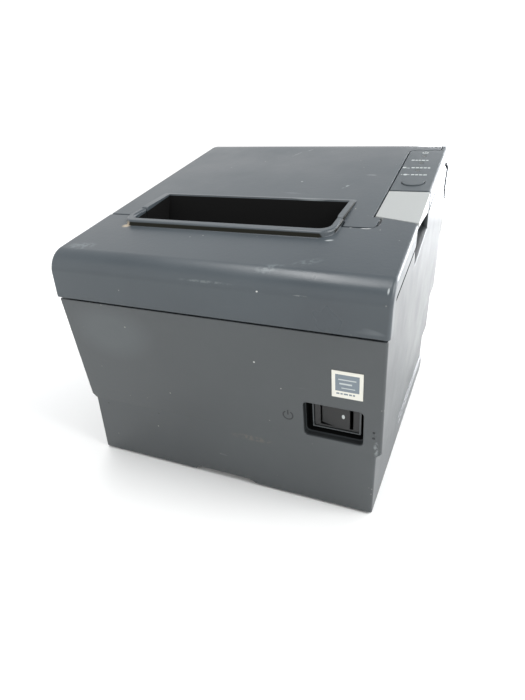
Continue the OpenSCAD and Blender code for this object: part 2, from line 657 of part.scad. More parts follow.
module front_cover() color("#646a6d") difference() {
    union() {
        intersection() {
            cap_shell(wall);
            plan([[-half_w - 1, front_y - 1], [half_w + 1, front_y - 1],
                  [half_w + 1, lever_front[1] - seam_gap],
                  [tongue_x + 1, lever_front[0] - seam_gap - 0.5], [tongue_x + 1, cover_seam + 4.5],
                  for (a = [0:-15:-90]) [tongue_x - 3.5, cover_seam + 4.5] + 4.5*[cos(a), sin(a)],
                  [-half_w - 1, cover_seam]], 80);
        }
        // front of the lip, and the slot's walls below it
        intersection() {
            union() {
                rim_block();
                along_x(slot_x[0] - rim_w, slot_x[1] + rim_w) polygon([[lip_y, top_z(lip_y) - 1],
                    [lip_seam, top_z(lip_seam) - 1], [lip_seam, 106.2], [slot_y[0] - 2.5, 106.2]]);
            }
            lip_ears();
        }
        // runners that slide on the rails
        for (x = [-66.5, 64.5]) along_x(x, x + 2) polygon([[-86, 99.4], [-60, 99.4],
            [-60, top_z(-60) - wall + 0.2], [-86, top_z(-86) - wall + 0.2]]);
    }
    slot_hole();
}

module cover_rails() color("#3b3e40") mirror_pair() {
    block([63.5, -84, 97.4], [shell_w - wall, -50, 99]);
    block([63.5, -84, 92], [shell_w - wall, -82, 97.4]);
    block([63.5, -52, 92], [shell_w - wall, -50, 97.4]);
}

// ---------- printing mechanism ----------

module mech_frame() color("#a9adaf") difference() {
    union() {
        for (x = [frame_x[0], frame_x[1] - plate_t]) along_x(x, x + plate_t) difference() {
            polygon([[-61.5, 34], [-61.5, 97], [-45, 97], [-40, 94.6],
                [-40, 97], [-18, 97], [-14, 88], [-14, 34]]);
            translate(platen_c) circle(r = shaft_d/2 + 0.8);
            polygon([platen_c + [-3.8, 0], platen_c + [-8.5, 6], platen_c + [4.5, 6], platen_c + [3.8, 0]]);
        }
        block([frame_x[0], -61.5, 34], [frame_x[1], -18, 34 + plate_t]);
        block([frame_x[0], -61.5, 34], [frame_x[1], -61.5 + plate_t, 52]);
        // seat of the head springs
        at_head() translate([frame_x[0], -3, -20.5]) cube([frame_x[1] - frame_x[0], 9, plate_t]);
    }
    for (x = post_x, y = post_y) upright([x, y], 30, 40, screw_r);
    rod_x(-60, 60, latch_c, 2.05);
    rod_x(30, 45, motor_c, 4.25);
    head_rod(-60, 60, 2.52);
}

head_pivot = [12, -5.5];     // head shaft, in the head's own axes
module head_rod(x0, x1, r) at_head() rod_x(x0, x1, head_pivot, r);

module print_head() color("#d9d2bf") at_head()
    block([paper_x - bucket_w, -5, -1.8], [paper_x + bucket_w, 9, -0.3]);

module heat_sink() color("#9ba0a2") difference() {
    union() {
        at_head() {
            translate([paper_x - bucket_w, -4, -5]) cube([2*bucket_w, 13, 3.2]);
            for (i = [0:5]) translate([paper_x - bucket_w, -4 + i*2.1, -9]) cube([2*bucket_w, 1, 4.2]);
            translate([paper_x - bucket_w, 7.5, -6.5]) cube([2*bucket_w, 2.4, 3]);
        }
        for (x = [paper_x - bucket_w, paper_x + bucket_w - 8]) head_rod(x, x + 8, 3.6);
    }
    head_rod(-60, 60, 2.55);
}

module head_shaft() color("silver") head_rod(frame_x[0] - 0.8, frame_x[1] + 0.4, 2.5);

module head_springs() color("silver") for (x = [paper_x - 26, paper_x + 26]) at_head()
    translate([x, 1.5, -18.5]) coil(2.4, 0.4, 6, 1.42);

module head_ribbon() color("#d8d8d4") along_x(-30, -6) polygon([
    [-31, 68.6], [-24, 67.2], [-18, 66.6], [-16, 64], [-16, 14], [-13, 12.2], [-9.4, 12.2],
    [-9.4, 12.6], [-12.8, 12.6], [-15.6, 14.2], [-15.6, 64.2], [-17.8, 67], [-24, 67.6], [-31, 69]]);

module feed_motor() color("#3a3c3d") difference() {
    union() {
        rod_x(17, frame_x[1] - plate_t, motor_c, 14);
        rod_x(frame_x[1] - plate_t - 0.1, frame_x[1], motor_c, 4.2);
    }
    rod_x(30, 60, motor_c, 1.25);
}

module motor_pinion() color("#b08d3f") {
    feed_gear(motor_c, pinion_turn, pinion_teeth, gear_x - 0.4);
    rod_x(32, gear_x + gear_w + 1, motor_c, 1.2);
}

module idler_gear() color("#d8d6cc") difference() {
    feed_gear(idler_c, idler_turn, idler_teeth, gear_x);
    rod_x(30, 60, idler_c, 2.05);
    for (a = [0:60:300]) rod_x(gear_x - 1, gear_x + gear_w + 1, idler_c + 6.4*[cos(a), sin(a)], 1.7);
}

module idler_axle() color("silver") {
    rod_x(frame_x[1], gear_x + gear_w + 1, idler_c, 2);
    rod_x(frame_x[1], gear_x - 0.3, idler_c, 3.4);
    rod_x(gear_x + gear_w + 0.3, gear_x + gear_w + 1, idler_c, 3);
}

// ---------- cutter ----------

plate_z = 97;
gear_z = plate_z + 3;
blade_top = blade_z + 1.2;

module cutter_frame() color("#a9adaf") difference() {
    union() {
        block([frame_x[0], -82, plate_z], [frame_x[1], -45, plate_z + 1.2]);
        // rails that the blade slides on
        for (x = [-49, 32]) block([x, -66, plate_z], [x + 3, -47, blade_top - 0.1]);
        block([frame_x[0], -82, 90], [frame_x[1], -80.8, plate_z + 1]);
    }
    upright(wheel_c, 90, 110, 2.05);
    upright(knob_c, 90, 110, 2.2);
}

module wheel_axle() color("silver") {
    upright(wheel_c, plate_z - 1, gear_z + 2.4, 2);
    upright(wheel_c, plate_z + 1.2, gear_z - 0.2, 3.4);
}

module cutter_wheel() color("#e3e1d6") {
    difference() {
        translate([wheel_c[0], wheel_c[1], gear_z]) linear_extrude(2.8) gear(wheel_teeth, cutter_module);
        upright(wheel_c, gear_z - 1, gear_z + 2.5, 2.05);
        upright(wheel_c, gear_z + 2.4, gear_z + 4, 1);
    }
    upright(wheel_c - [0, crank_r], gear_z + 2.7, blade_top + 1.0, 1.4);
}

module cutter_pinion() color("#e3e1d6") {
    translate([knob_c[0], knob_c[1], gear_z]) linear_extrude(2.8) rotate(knob_turn)
        gear(knob_teeth, cutter_module);
    upright(knob_c, 90, gear_z + 0.1, 1.4);
}

module cutter_knob() color("#d9dcd8") translate([knob_c[0], knob_c[1], gear_z + 2.8]) difference() {
    cylinder(h = 2.4, r = 4.3);
    for (a = [0:30:330]) rotate(a) translate([4.5, 0, -1]) cylinder(h = 5, r = 0.5, $fn = 16);
}

module cutter_motor() color("#6e7274") difference() {
    upright(knob_c, 68, plate_z, 8.5);
    upright(knob_c, 85, plate_z + 1, 1.5);
}

blade_yoke = wheel_c[1] - crank_r;
module moving_blade() color("silver") translate([0, 0, blade_top]) difference() {
    linear_extrude(0.8) polygon([[-48, -66], [34, -66], [34, -46.6], [paper_x + 4, -49.4], [paper_x, -51.6],
        [paper_x - 4, -49.4], [-48, -46.6]]);
    block([wheel_c[0] - 6, blade_yoke - 2.3, -1], [wheel_c[0] + 6, blade_yoke + 2.3, 2]);
}

guard_x = [-54.1, 37.7];
module blade_guard() color("#1d1e1f") difference() {
    union() {
        block([guard_x[0], -64, blade_top + 1.3], [guard_x[1], -46.4, blade_top + 2.1]);
        // legs, short at the rear to let the latch hooks swing
        for (x = [guard_x[0], guard_x[1] - 2])
            block([x, -64, plate_z + 1.2], [x + 2, -49, blade_top + 1.4]);
    }
    block([frame_x[1] - 3, -65, 90], [frame_x[1] - 0.2, -46, 98.2]);
}

// ---------- paper supply ----------

module roll_bucket() color("#2b2d2e") difference() {
    along_x(paper_x - bucket_w - 2, paper_x + bucket_w + 2) polygon(concat(
        arc(bucket_c, bucket_r + 2, 188, 360, 30),
        [bucket_c + [bucket_r + 2, 36], bucket_c + [-bucket_r - 2, 26], bucket_c + [-bucket_r - 2, -4]]));
    along_x(paper_x - bucket_w, paper_x + bucket_w) polygon(concat(
        arc(bucket_c, bucket_r, 188, 360, 30),
        [bucket_c + [bucket_r, 60], bucket_c + [-bucket_r - 5, 60], bucket_c + [-bucket_r - 5, -6]]));
    // window of the near-end lever
    block([-60, 12, 62], [paper_x - bucket_w + 1, 26, 74]);
}

module paper_guide() color("#3b3e40") along_x(paper_x - bucket_w, paper_x + bucket_w) polygon(concat(
    [[-10.4, 72.6], [-16, 70.6], [-22, 70.4], [-27.6, 72.6]],
    [[-27.6, 71.4], [-22, 69.2], [-16, 69.4], [-10.8, 71.2]]));

module paper_sensor() color("#202122") {
    block([-2, -18, 64.2], [8, -12.5, 69.2]);
}

near_c = [-54.5, 8];
module near_end_pin() color("silver") {
    upright(near_c, 58, 78, 1.2);
    block([near_c[0] - 2, near_c[1] - 4, 56], [near_c[0] + 5, near_c[1] + 4, 58]);
}

module near_end_lever() color("#2f3133") difference() {
    union() {
        upright(near_c, 62.6, 73.4, 2.4);
        plan([near_c + [-1, -1], near_c + [1.2, -1], [-51.5, 14], [-50, 17], [-46.6, 19], [-46.6, 21],
              [-50, 24], [-52.4, 24], [-53.6, 14]], 63, 73);
    }
    upright(near_c, 60, 80, 1.25);
}

// ---------- electronics and connectors ----------

module main_board() color("#2e5a3c") difference() {
    block([-41, -10, 10], [27, 66, 11.6]);
    for (x = board_x, y = board_y) upright([x, y], 9, 13, 1.6);
}

module board_parts() color("#26282a") {
    for (p = [[-30, 20], [-16, 30], [4, 14]]) block([p[0], p[1], 11.6], [p[0] + 11, p[1] + 11, 13.4]);
    for (y = [40, 50]) upright([14, y], 11.6, 22, 4);
    block([-30, -9.4, 11.6], [-6, -5, 14.4]);
    for (y = [34, 46]) block([-34, y, 11.6], [-28, y + 9, 16]);
}

port_z = 20;
inlet_x = 44;
jack_x = 18;
usb_x = -5;
serial_x = -37;

module interface_plate() color("#b4b8ba") difference() {
    block([-bay_x, bay_y - 1.4, floor_z], [bay_x, bay_y, bay_z]);
    rod_y([inlet_x, port_z], 60, 80, 8.05);
    block([jack_x - 7, 60, port_z - 6.5], [jack_x + 7, 80, port_z + 6.5]);
    block([usb_x - 6, 60, port_z - 5.5], [usb_x + 6, 80, port_z + 5.5]);
    block([serial_x - 20, 60, port_z - 6], [serial_x + 20, 80, port_z + 6]);
    for (x = [-56, 56]) rod_y([x, 38], 60, 80, 1.5);
}

module power_inlet() color("#1c1d1e") difference() {
    union() {
        rod_y([inlet_x, port_z], bay_y - 8, bay_y + 5, 8);
        block([inlet_x - 8, bay_y - 12, 11], [inlet_x + 8, bay_y - 1.4, 28]);
    }
    rod_y([inlet_x, port_z], bay_y - 6, bay_y + 6, 6.2);
}

module drawer_jack() color("#1c1d1e") difference() {
    block([jack_x - 7, bay_y - 10, port_z - 6.5], [jack_x + 7, bay_y + 4, port_z + 6.5]);
    block([jack_x - 5, bay_y - 6, port_z - 4], [jack_x + 5, bay_y + 5, port_z + 3.6]);
    block([jack_x - 3, bay_y - 6, port_z - 5.4], [jack_x + 3, bay_y + 5, port_z]);
}

module usb_port() color("#c4c7c8") difference() {
    block([usb_x - 6, bay_y - 10, port_z - 5.5], [usb_x + 6, bay_y + 4, port_z + 5.5]);
    block([usb_x - 4.4, bay_y - 6, port_z - 3.9], [usb_x + 4.4, bay_y + 5, port_z + 3.9]);
}

module serial_port() color("#b4b8ba") difference() {
    union() {
        block([serial_x - 20, bay_y - 8, port_z - 6], [serial_x + 20, bay_y + 1.2, port_z + 6]);
        block([serial_x - 15, bay_y, port_z - 4.2], [serial_x + 15, bay_y + 6, port_z + 4.2]);
        for (s = [-1, 1]) rod_y([serial_x + s*17.6, port_z], bay_y, bay_y + 5, 2.2);
    }
    block([serial_x - 14, bay_y - 1, port_z - 3.2], [serial_x + 14, bay_y + 7, port_z + 3.2]);
}

base_tray();
feet();
case_screws();
housing();
label_plate();
switch_body();
power_rocker();
control_panel();
led_lenses();
panel_board();
feed_button();
cover_lever();
lever_bracket();
lever_pin();
lever_spring();
latch_shaft();
latch_hooks();
roll_cover();
cover_liner();
platen_frame();
fixed_blade();
platen_bushes();
platen_shaft();
platen_rubber();
platen_gear();
hinge_brackets();
hinge_pins();
front_cover();
cover_rails();
mech_frame();
roll_bucket();
paper_guide();
print_head();
heat_sink();
head_shaft();
head_springs();
head_ribbon();
feed_motor();
motor_pinion();
idler_gear();
idler_axle();
cutter_frame();
blade_guard();
moving_blade();
cutter_wheel();
cutter_pinion();
cutter_knob();
cutter_motor();
wheel_axle();
paper_sensor();
near_end_lever();
near_end_pin();
main_board();
board_parts();
interface_plate();
power_inlet();
drawer_jack();
usb_port();
serial_port();
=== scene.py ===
import json
import math
import bmesh
import bpy
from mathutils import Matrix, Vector


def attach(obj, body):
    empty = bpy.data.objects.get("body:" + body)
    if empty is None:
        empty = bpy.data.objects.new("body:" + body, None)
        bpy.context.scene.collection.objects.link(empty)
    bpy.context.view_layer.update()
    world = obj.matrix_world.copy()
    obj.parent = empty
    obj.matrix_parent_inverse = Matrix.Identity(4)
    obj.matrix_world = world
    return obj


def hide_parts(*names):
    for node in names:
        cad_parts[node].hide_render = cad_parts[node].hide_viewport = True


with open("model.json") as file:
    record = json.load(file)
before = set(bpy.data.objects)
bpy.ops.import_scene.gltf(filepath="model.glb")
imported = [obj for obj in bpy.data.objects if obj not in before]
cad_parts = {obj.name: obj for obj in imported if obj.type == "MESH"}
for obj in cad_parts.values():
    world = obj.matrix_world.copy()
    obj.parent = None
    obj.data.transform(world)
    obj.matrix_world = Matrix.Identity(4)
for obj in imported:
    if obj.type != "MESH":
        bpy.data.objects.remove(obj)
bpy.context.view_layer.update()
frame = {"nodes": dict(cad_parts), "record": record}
cad = frame["nodes"]
bodyOf = {node: body for body, members in frame["record"]["behaviour"]["bodies"].items() for node in members}
slotOf = {part["node"]: part["material_slot"] for part in frame["record"]["subparts"]}
print("frame loaded:", len(cad), "nodes")

mm = 0.001
topSlope = math.radians(16)                       # slope of the top
frontLean = math.radians(13)                      # forward lean of the front panel
ridge = {"y": 58.1, "z": 148.887}                 # line in mm where the slope of the top would meet the ridge
frontFoot = {"y": -82.8, "z": 30.6}               # lower edge of the front panel, in mm


def topZ(y):                                      # height of the sloping top, in mm
    return ridge["z"] + math.tan(topSlope) * (y - ridge["y"])


def frontY(z):                                    # depth of the front panel, in mm
    return frontFoot["y"] - (z - frontFoot["z"]) * math.tan(frontLean)


# camera, light and floor

view = {"location": (0.094449, -0.259572, 0.144528), "turn": (68.618, -0.099, 22.799), "lens": 25.965}
lamps = {                                         # place, aim, size in metres, watts, colour
    "stripOverhead": ((-0.55, -0.18, 2.30), (0.0, 0.0, 0.1), (1.7, 0.5), 22, "#ffffff"),
    "rearSoftbox": ((0.45, 1.10, 0.30), (0.07, 0.0, 0.06), (1.1, 0.6), 17, "#f8faff"),
    "rightSoftbox": ((1.40, -0.10, 1.20), (0.15, 0.1, 0.0), (1.2, 1.2), 22, "#ffffff"),
}
studio = {
    "walls": "#ffffff",                           # the tent's walls, up to skyLow above the horizon
    "ceiling": "#a2a5a8",                         # its darker ceiling
    "skyLow": 33, "skyHigh": 43,                  # degrees between which one passes into the other
    "strength": 1.12, "table": "#fbfbfa", "tableHalf": 0.8,
}


def linear(code):                                 # "#rrggbb" in sRGB to linear rgba
    parts = [int(code[i:i + 2], 16) / 255 for i in (1, 3, 5)]
    return [c / 12.92 if c <= 0.04045 else ((c + 0.055) / 1.055) ** 2.4 for c in parts] + [1.0]


def node(tree, kind, settings=None, links=None):
    made = tree.nodes.new("ShaderNode" + kind)
    for key, value in (settings or {}).items():
        if isinstance(key, int) or key in made.inputs:
            made.inputs[key].default_value = value
        else:
            setattr(made, key, value)
    for key, source in (links or {}).items():
        tree.links.new(source, made.inputs[key])
    return made


def mix(tree, factor, a, b):                      # colours a and b are hex codes or sockets
    made = node(tree, "Mix", {"data_type": "RGBA"})
    for key, value in ((6, a), (7, b)):
        if isinstance(value, str):
            made.inputs[key].default_value = linear(value)
        else:
            tree.links.new(value, made.inputs[key])
    tree.links.new(factor, made.inputs[0])
    return made.outputs[2]


def times(tree, a, b):                            # product of two values, each a number or a socket
    made = node(tree, "Math", {"operation": "MULTIPLY"})
    for key, value in ((0, a), (1, b)):
        if isinstance(value, (int, float)):
            made.inputs[key].default_value = value
        else:
            tree.links.new(value, made.inputs[key])
    return made.outputs[0]


def ramp(tree, value, low, high):                 # 0 at low and 1 at high
    return node(tree, "MapRange", {"From Min": low, "From Max": high}, {"Value": value}).outputs[0]


def placeCamera():
    data = bpy.data.cameras.new("camera")
    data.sensor_width = 36
    data.lens = view["lens"]
    camera = bpy.data.objects.new("camera", data)
    camera.location = view["location"]
    camera.rotation_euler = [math.radians(a) for a in view["turn"]]
    bpy.context.scene.collection.objects.link(camera)
    bpy.context.scene.camera = camera


def placeWorld():                                 # white tent walls that pass into a darker ceiling
    world = bpy.data.worlds.new("studio")
    world.use_nodes = True
    tree = world.node_tree
    back = tree.nodes["Background"]
    back.inputs["Strength"].default_value = studio["strength"]
    up = node(tree, "SeparateXYZ", links={0: node(tree, "TexCoord").outputs["Generated"]})
    low, high = (math.sin(math.radians(studio[key])) for key in ("skyLow", "skyHigh"))
    blend = ramp(tree, up.outputs[2], low, high)
    tree.links.new(mix(tree, blend, studio["walls"], studio["ceiling"]), back.inputs["Color"])
    bpy.context.scene.world = world


def placeLamps():
    for name, (place, aim, size, watts, colour) in lamps.items():
        data = bpy.data.lights.new(name, "AREA")
        data.shape = "RECTANGLE"
        data.size, data.size_y = size
        data.energy = watts
        data.color = linear(colour)[:3]
        lamp = bpy.data.objects.new(name, data)
        lamp.location = place
        lamp.rotation_euler = (Vector(aim) - Vector(place)).to_track_quat("-Z", "Y").to_euler()
        lamp.visible_camera = False
        bpy.context.scene.collection.objects.link(lamp)
    bpy.context.scene.view_settings.view_transform = "Standard"


placeCamera()
placeWorld()
placeLamps()
print("camera and lamps placed")


# materials: masks laid over the shape, then one function for each real finish

def blankMaterial(name, colour, roughness, metallic=0.0, ior=1.5):
    material = bpy.data.materials.new(name)
    material.use_nodes = True
    tree = material.node_tree
    shader = tree.nodes["Principled BSDF"]
    shader.inputs["Base Color"].default_value = linear(colour)
    shader.inputs["Roughness"].default_value = roughness
    shader.inputs["Metallic"].default_value = metallic
    shader.inputs["IOR"].default_value = ior
    material.diffuse_color = linear(colour)
    return material, tree, shader


def insideBox(tree, place, low, high, soft):      # 1 well inside the box, fading out over soft mm
    centre = [(a + b) / 2 * mm for a, b in zip(low, high)]
    half = [(b - a) / 2 * mm for a, b in zip(low, high)]
    off = node(tree, "VectorMath", {"operation": "SUBTRACT", 1: centre}, {0: place})
    off = node(tree, "VectorMath", {"operation": "ABSOLUTE"}, {0: off.outputs[0]})
    off = node(tree, "VectorMath", {"operation": "SUBTRACT", 1: half}, {0: off.outputs[0]})
    parts = node(tree, "SeparateXYZ", links={0: off.outputs[0]})
    far = node(tree, "Math", {"operation": "MAXIMUM"}, {0: parts.outputs[0], 1: parts.outputs[1]})
    far = node(tree, "Math", {"operation": "MAXIMUM"}, {0: far.outputs[0], 1: parts.outputs[2]})
    return ramp(tree, far.outputs[0], 0.0, -soft * mm)


def blot(tree, place, centre, size, turn):        # soft spot with the half axes given in mm, turned about z
    off = node(tree, "VectorMath", {"operation": "SUBTRACT", 1: [c * mm for c in centre]}, {0: place})
    about = {"rotation_type": "Z_AXIS", "Angle": math.radians(-turn)}
    off = node(tree, "VectorRotate", about, {"Vector": off.outputs[0]})
    off = node(tree, "VectorMath", {"operation": "DIVIDE", 1: [h * mm for h in size]}, {0: off.outputs[0]})
    away = node(tree, "VectorMath", {"operation": "LENGTH"}, {0: off.outputs[0]})
    return ramp(tree, away.outputs["Value"], 1.0, 0.45)


mouldSkin = {
    "speck": 0.0009,                              # spark-eroded grain: 0.3 mm in truth, drawn 0.9 mm to show
    "mottle": 0.028,                              # patches of handling and dust, 28 mm and finer
    "grain": 0.10, "depth": 0.0004,               # strength and height of the grain
    "hairTurn": (0.3, 0.5, 0.7),                  # hairlines run askew to the edges
    "hairCells": (30.0, 420.0, 160.0),            # per metre: 30 mm long, 2 mm apart, coarser than real ones
    "hairPatches": 28.0,                          # per metre: areas that are scratched at all
    "dustCells": 210.0,                           # per metre: one point of 0.5 mm in 5 mm, real dust is finer
    "dustPatches": 60.0,                          # per metre: areas that hold dust
    "dustTone": "#c8c6be",
    "crumbs": 520.0,                              # per metre: crumbs of about 1 mm that break up a worn spot
}


def noiseScale(size):                             # scale that gives bumps of this size in metres
    return 1 / size / 2


def hairlines(tree, place):                       # noise pulled out along one axis and cut to its thin ridges
    askew = {"Rotation": mouldSkin["hairTurn"], "Scale": mouldSkin["hairCells"]}
    turned = node(tree, "Mapping", askew, {"Vector": place}).outputs[0]
    lines = node(tree, "TexNoise", {"Scale": 1.0, "Detail": 1.0, "Distortion": 0.6}, {"Vector": turned})
    sparse = node(tree, "TexNoise", {"Scale": mouldSkin["hairPatches"], "Detail": 1.0}, {"Vector": place})
    return times(tree, ramp(tree, lines.outputs[0], 0.735, 0.80), ramp(tree, sparse.outputs[0], 0.54, 0.66))


def dustPoints(tree, place):                      # single pale points
    cells = node(tree, "TexVoronoi", {"Scale": mouldSkin["dustCells"]}, {"Vector": place})
    few = node(tree, "TexNoise", {"Scale": mouldSkin["dustPatches"], "Detail": 0.0}, {"Vector": place})
    point = ramp(tree, cells.outputs["Distance"], 0.085, 0.05)
    return times(tree, point, ramp(tree, few.outputs[0], 0.55, 0.7))


def mouldedAbs(name, colour, worn, dust, roughness, scratches=1.0, wearAndHighlights=(), shade=()):
    # injection moulded ABS with a fine spark texture: low sheen, dull patches, pale hairlines where handled
    material, tree, shader = blankMaterial(name, colour, roughness, ior=1.53)
    place = node(tree, "TexCoord").outputs["Object"]
    broad = {"Scale": noiseScale(mouldSkin["mottle"]), "Detail": 4.0, "Roughness": 0.6}
    patches = node(tree, "TexNoise", broad, {"Vector": place}).outputs[0]
    small = {"Scale": noiseScale(mouldSkin["speck"]), "Detail": 2.0, "Roughness": 0.7}
    fine = node(tree, "TexNoise", small, {"Vector": place}).outputs[0]
    hair = times(tree, hairlines(tree, place), 0.55 * scratches)
    base = mix(tree, times(tree, ramp(tree, patches, 0.35, 0.72), 0.35), colour, dust)
    base = mix(tree, hair, base, worn)
    base = mix(tree, times(tree, dustPoints(tree, place), 0.5 * scratches), base, mouldSkin["dustTone"])
    crumbs = node(tree, "TexNoise", {"Scale": mouldSkin["crumbs"], "Detail": 2.0}, {"Vector": place})
    crumb = ramp(tree, crumbs.outputs[0], 0.42, 0.58)
    # real wear marks and painted highlights, each a soft blot
    for centre, size, turn, tone, strength, broken in wearAndHighlights:
        much = times(tree, strength, blot(tree, place, centre, size, turn))
        base = mix(tree, times(tree, much, crumb) if broken else much, base, tone)
    shine = None                                  # specular falls to 0 inside the painted shade boxes, where no light reaches
    for low, high, soft, tone, strength, turn in shade:
        turned = node(tree, "Mapping", {"Rotation": (-turn, 0, 0)}, {"Vector": place}).outputs[0]
        much = times(tree, strength, insideBox(tree, turned, low, high, soft))
        base = mix(tree, much, base, tone)
        keep = node(tree, "Math", {"operation": "SUBTRACT", 0: 1.0}, {1: much}).outputs[0]
        shine = keep if shine is None else times(tree, shine, keep)
    if shine is not None:
        less = node(tree, "MapRange", {"To Min": 0.0, "To Max": 0.5}, {"Value": shine})
        tree.links.new(less.outputs[0], shader.inputs["Specular IOR Level"])
    tree.links.new(base, shader.inputs["Base Color"])
    duller = {"From Min": 0.3, "From Max": 0.75, "To Min": roughness - 0.07, "To Max": roughness + 0.1}
    rough = node(tree, "MapRange", duller, {"Value": patches})
    tree.links.new(rough.outputs[0], shader.inputs["Roughness"])
    relief = node(tree, "Math", {"operation": "SUBTRACT"}, {0: fine, 1: hair})
    raised = {"Strength": mouldSkin["grain"], "Distance": mouldSkin["depth"]}
    bump = node(tree, "Bump", raised, {"Height": relief.outputs[0]})
    tree.links.new(bump.outputs[0], shader.inputs["Normal"])
    return material


plainSkin = {
    "flow": 90.0,                                 # per metre: slight flow marks about 6 mm across
    "dulling": 0.06, "depth": 0.0003,             # how much they dull the skin, and height of its relief
}


def plainMoulding(name, colour, other, roughness, grain=0.08, ior=1.5):
    # unseen or small mouldings: an even skin with slight flow marks
    material, tree, shader = blankMaterial(name, colour, roughness, ior=ior)
    place = node(tree, "TexCoord").outputs["Object"]
    flow = node(tree, "TexNoise", {"Scale": plainSkin["flow"], "Detail": 3.0}, {"Vector": place})
    tree.links.new(mix(tree, flow.outputs[0], colour, other), shader.inputs["Base Color"])
    fine = node(tree, "TexNoise", {"Scale": noiseScale(mouldSkin["speck"]), "Detail": 2.0}, {"Vector": place})
    spread = {"To Min": roughness - plainSkin["dulling"], "To Max": roughness + plainSkin["dulling"]}
    rough = node(tree, "MapRange", spread, {"Value": flow.outputs[0]})
    tree.links.new(rough.outputs[0], shader.inputs["Roughness"])
    raised = {"Strength": grain, "Distance": plainSkin["depth"]}
    bump = node(tree, "Bump", raised, {"Height": fine.outputs[0]})
    tree.links.new(bump.outputs[0], shader.inputs["Normal"])
    return material


metalSkin = {
    "stretch": (40.0, 900.0, 900.0),  # per metre: lines 25 mm long and 1 mm apart, real ones are finer
    "cloud": 70.0,                                # per metre: cloudy patches of the finish
    "strength": 0.06, "depth": 0.0002,            # relief of the lines
}


def workedMetal(name, colour, other, roughness, stretch=metalSkin["stretch"]):
    # rolled, ground or drawn metal: fine lines along the way it was worked
    material, tree, shader = blankMaterial(name, colour, roughness, metallic=1.0)
    place = node(tree, "TexCoord").outputs["Object"]
    pulled = node(tree, "Mapping", {"Scale": stretch}, {"Vector": place})
    grainLines = node(tree, "TexNoise", {"Scale": 1.0, "Detail": 3.0}, {"Vector": pulled.outputs[0]})
    cloud = node(tree, "TexNoise", {"Scale": metalSkin["cloud"], "Detail": 3.0}, {"Vector": place})
    tree.links.new(mix(tree, cloud.outputs[0], colour, other), shader.inputs["Base Color"])
    spread = {"To Min": roughness - 0.08, "To Max": roughness + 0.12}
    rough = node(tree, "MapRange", spread, {"Value": grainLines.outputs[0]})
    tree.links.new(rough.outputs[0], shader.inputs["Roughness"])
    raised = {"Strength": metalSkin["strength"], "Distance": metalSkin["depth"]}
    bump = node(tree, "Bump", raised, {"Height": grainLines.outputs[0]})
    tree.links.new(bump.outputs[0], shader.inputs["Normal"])
    return material


def slopeZ(z):                                    # height above the sloping top, in the turned frame
    return ridge["y"] * -math.sin(topSlope) + ridge["z"] * math.cos(topSlope) + z


def slopeY(y):                                    # the same for a distance along it
    return y * math.cos(topSlope) + topZ(y) * math.sin(topSlope)


# the paper slot, and the near-black tone of the painted shade on its walls
throat = {"left": -54.4, "right": 39.6, "front": -62.2, "rear": -28.2, "black": "#1a1a1a"}
lip = {"left": -58.4, "right": 43.6, "front": -67.4, "paintedShade": "#26251f"}
coverShade = [                                    # painted shade boxes: low and high corner, fade in mm, colour, strength, lean
    ((throat["left"] - 0.6, slopeY(throat["front"]) - 0.3, slopeZ(-40)),  # painted shade: walls of the paper slot, near black
     (throat["right"] + 0.6, slopeY(throat["rear"]) + 0.4, slopeZ(-0.1)),
     0.3, throat["black"], 1.0, topSlope),
    ((lip["left"], slopeY(lip["front"]), slopeZ(0.05)),  # painted shade on the front of its lip
     (lip["right"], slopeY(throat["front"] - 3.4), slopeZ(2.25)), 0.25, lip["paintedShade"], 0.95, topSlope),
    ((throat["right"] + 2.4, slopeY(lip["front"]), slopeZ(0.05)),  # painted shade on the right side of its lip
     (lip["right"], slopeY(-30), slopeZ(1.7)), 0.3, lip["paintedShade"], 0.8, topSlope),
    ((-73.0, -99.0, 80.0), (73.0, -93.0, 99.5), 9.0, "#2b2e30", 0.45, 0.0),  # painted shade: darker towards the low edge of the nose
]
coverWearAndHighlights = [                                     # real wear and painted highlights: centre, half axes, turn, colour, strength, broken up
    ((-54.2, -66.5, topZ(-66.5) + 0.6), (2.6, 2.4, 2.0), 30, "#b9a98f", 0.85, False),
    # painted highlight on the fillet at the lip's right front corner
    ((41.8, -67.6, topZ(-67.6)), (2.0, 0.8, 2.0), 18, "#c2c7c7", 0.65, False),
    ((-9.0, 40.0, topZ(40.0)), (0.5, 7.5, 3.0), -22, "#b6bab9", 0.6, True),
    ((-4.0, 46.5, topZ(46.5)), (0.4, 4.0, 3.0), -35, "#b6bab9", 0.5, True),
    ((9.0, -4.8, topZ(-4.8)), (0.7, 0.7, 0.7), 0, "#b5b9b8", 0.7, False),
    ((33.5, -9.0, topZ(-9.0)), (0.8, 6.0, 2.0), -25, "#aab1b1", 0.55, True),
    ((42.0, 6.6, topZ(6.6)), (3.8, 0.6, 1.0), 0, "#b3b8b7", 0.5, True),
    # painted highlights: a glint and a thin crescent at the roll cover's rounded corner
    ((47.0, -55.0, topZ(-55.0)), (0.7, 0.5, 1.0), 0, "#e4e6e4", 0.9, False),
    ((53.2, -55.2, topZ(-55.2)), (2.4, 0.35, 1.0), 6, "#e9ebea", 0.95, False),
    ((26.0, -92.8, 106.0), (7.5, 3.2, 3.0), 30, "#9aa4a6", 0.22, True),
    ((39.0, -86.0, 107.7), (7.0, 2.6, 3.0), 32, "#8f999b", 0.22, True),
    ((3.0, -97.2, 99.4), (13.0, 1.4, 0.6), 0, "#7f8786", 0.35, True),
    ((24.1, -97.4, 97.9), (0.5, 0.6, 0.4), 0, "#d8d9d6", 0.8, False),
    ((40.5, -97.4, 98.0), (3.0, 0.6, 0.3), 0, "#9ea3a2", 0.35, True),
    # painted highlight at the nose's right end
    ((70.3, -95.6, 102.0), (0.45, 1.0, 1.9), 0, "#cdd3d3", 0.6, False),
    ((-62.0, -88.0, 107.0), (8.0, 4.0, 3.0), 10, "#7f888b", 0.4, True),
]
